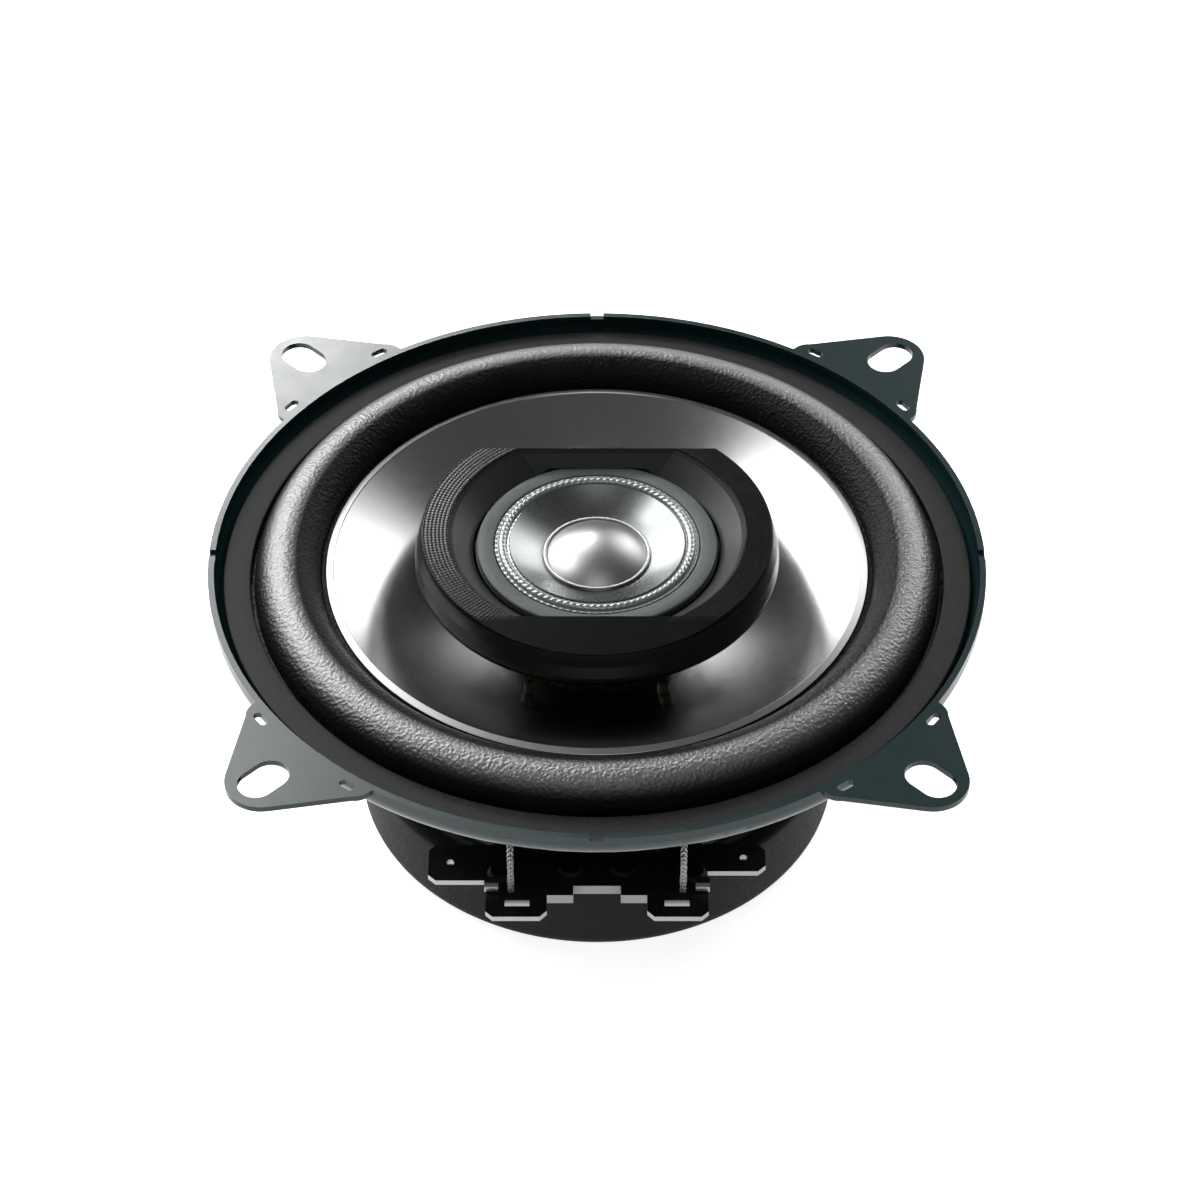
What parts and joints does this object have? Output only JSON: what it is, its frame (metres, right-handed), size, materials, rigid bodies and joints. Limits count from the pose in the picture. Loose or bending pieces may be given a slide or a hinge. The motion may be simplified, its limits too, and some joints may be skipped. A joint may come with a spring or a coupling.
{
  "type": "coaxial car speaker",
  "caption": "Round coaxial car speaker with a stamped steel basket, slotted mounting ears, a silver cone and a tweeter on a central post.",
  "frame": {"origin": "centre of the speaker on the rear face of its mounting ears", "axes": "+Z out of the sound side; the ears lie on the X and Y axes; the terminals point between +X and -Y"},
  "size_m": [0.1256, 0.1256, 0.045],
  "materials": {
    "basket_paint": "satin dark teal paint on stamped steel",
    "plated_steel": "zinc plate",
    "gasket_card": "matt dark grey pressed fibre",
    "ferrite": "ground dark ferrite",
    "cover_rubber": "smooth matt black moulded rubber",
    "surround_rubber": "fine-grained black rubber",
    "cone_metallised": "silver metallised cone",
    "coil_former": "thin aluminium foil",
    "enamelled_copper": "enamelled copper wire, wound",
    "spider_cloth": "resin-stiffened woven cloth",
    "brass_eyelet": "bare brass",
    "tinsel_braid": "tinned copper braid",
    "board_paper": "phenolic paper board with light cut edges",
    "terminal_tin": "tinned brass",
    "capacitor_sleeve": "plastic sleeve on an aluminium can",
    "moulded_black": "glass-filled moulding",
    "housing_black": "satin black moulding",
    "soft_ring": "grey-green soft ring",
    "clear_film": "thin ribbed film",
    "bright_foil": "bright metallised film",
    "dome_silver": "satin silver dome",
    "neodymium": "nickel plate",
    "wire_insulation": "black PVC insulation"
  },
  "bodies": {
    "frame": {"basket": "basket_paint", "basket_rivets": "plated_steel", "front_gasket": "gasket_card", "top_plate": "plated_steel", "yoke": "plated_steel", "tweeter_yoke": "plated_steel", "tweeter_pole_plate": "plated_steel", "post_screw": "plated_steel", "post_washer": "plated_steel", "magnet": "ferrite", "magnet_cover": "cover_rubber", "surround": "surround_rubber", "spider": "spider_cloth", "positive_tinsel_lead": "tinsel_braid", "negative_tinsel_lead": "tinsel_braid", "terminal_board": "board_paper", "positive_terminal": "terminal_tin", "negative_terminal": "terminal_tin", "terminal_rivets": "plated_steel", "crossover_capacitor": "capacitor_sleeve", "capacitor_leads": "tinsel_braid", "tweeter_post": "moulded_black", "tweeter_housing": "housing_black", "tweeter_bezel": "housing_black", "tweeter_frame": "moulded_black", "tweeter_gasket": "soft_ring", "tweeter_surround": "clear_film", "tweeter_magnet": "neodymium", "tweeter_leads": "wire_insulation"},
    "cone": {"woofer_cone": "cone_metallised", "voice_coil_former": "coil_former", "voice_coil": "enamelled_copper", "lead_eyelets": "brass_eyelet"},
    "tweeter_diaphragm": {"tweeter_cone": "bright_foil", "tweeter_dome": "dome_silver", "tweeter_coil_former": "coil_former", "tweeter_voice_coil": "enamelled_copper"}
  },
  "joints": [
    {"name": "cone_travel", "type": "slide", "parent": "frame", "child": "cone", "axis": [0, 0, 1], "range_m": [-0.003, 0.003], "stiffness_N_per_m": 1500, "deforming": ["surround", "spider", "positive_tinsel_lead", "negative_tinsel_lead"]},
    {"name": "tweeter_travel", "type": "slide", "parent": "frame", "child": "tweeter_diaphragm", "axis": [0, 0, 1], "range_m": [-0.0003, 0.0003], "stiffness_N_per_m": 500, "deforming": ["tweeter_surround"]}
  ]
}
